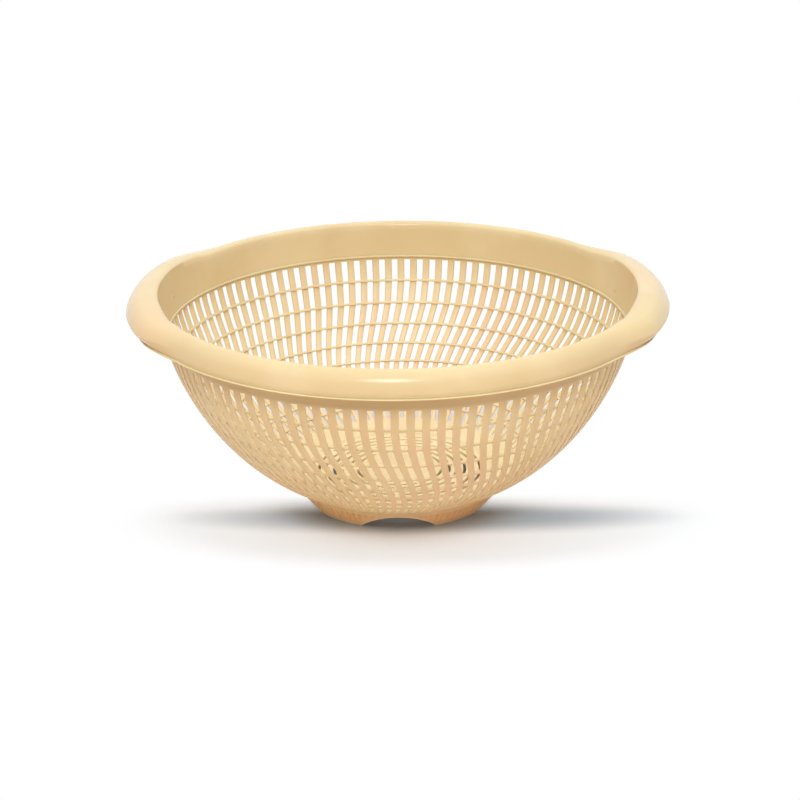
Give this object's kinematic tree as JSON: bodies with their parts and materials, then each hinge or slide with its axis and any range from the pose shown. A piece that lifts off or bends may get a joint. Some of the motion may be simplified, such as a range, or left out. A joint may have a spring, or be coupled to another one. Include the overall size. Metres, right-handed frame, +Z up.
{
  "type": "kitchen strainer",
  "caption": "Round slotted plastic strainer bowl with swirling ribs, a rolled rim that widens into two grips, and a low arched foot ring.",
  "frame": {"origin": "centre of the foot ring on the table", "axes": "+X towards the right grip, +Z up out of the bowl"},
  "size_m": [0.2832, 0.268, 0.1184],
  "materials": {
    "cream_plastic": "satin moulded polypropylene in a warm cream"
  },
  "bodies": {
    "root": {"grip_right": "cream_plastic", "grip_left": "cream_plastic", "rim_back": "cream_plastic", "rim_front": "cream_plastic", "upper_band": "cream_plastic", "rib_panel_1": "cream_plastic", "rib_panel_2": "cream_plastic", "rib_panel_3": "cream_plastic", "rib_panel_4": "cream_plastic", "rib_panel_5": "cream_plastic", "rib_panel_6": "cream_plastic", "hoop_1": "cream_plastic", "hoop_2": "cream_plastic", "hoop_3": "cream_plastic", "hoop_4": "cream_plastic", "hoop_5": "cream_plastic", "hoop_6": "cream_plastic", "hoop_7": "cream_plastic", "hoop_8": "cream_plastic", "base_rim": "cream_plastic", "floor_grille": "cream_plastic", "foot_ring": "cream_plastic"}
  },
  "joints": []
}
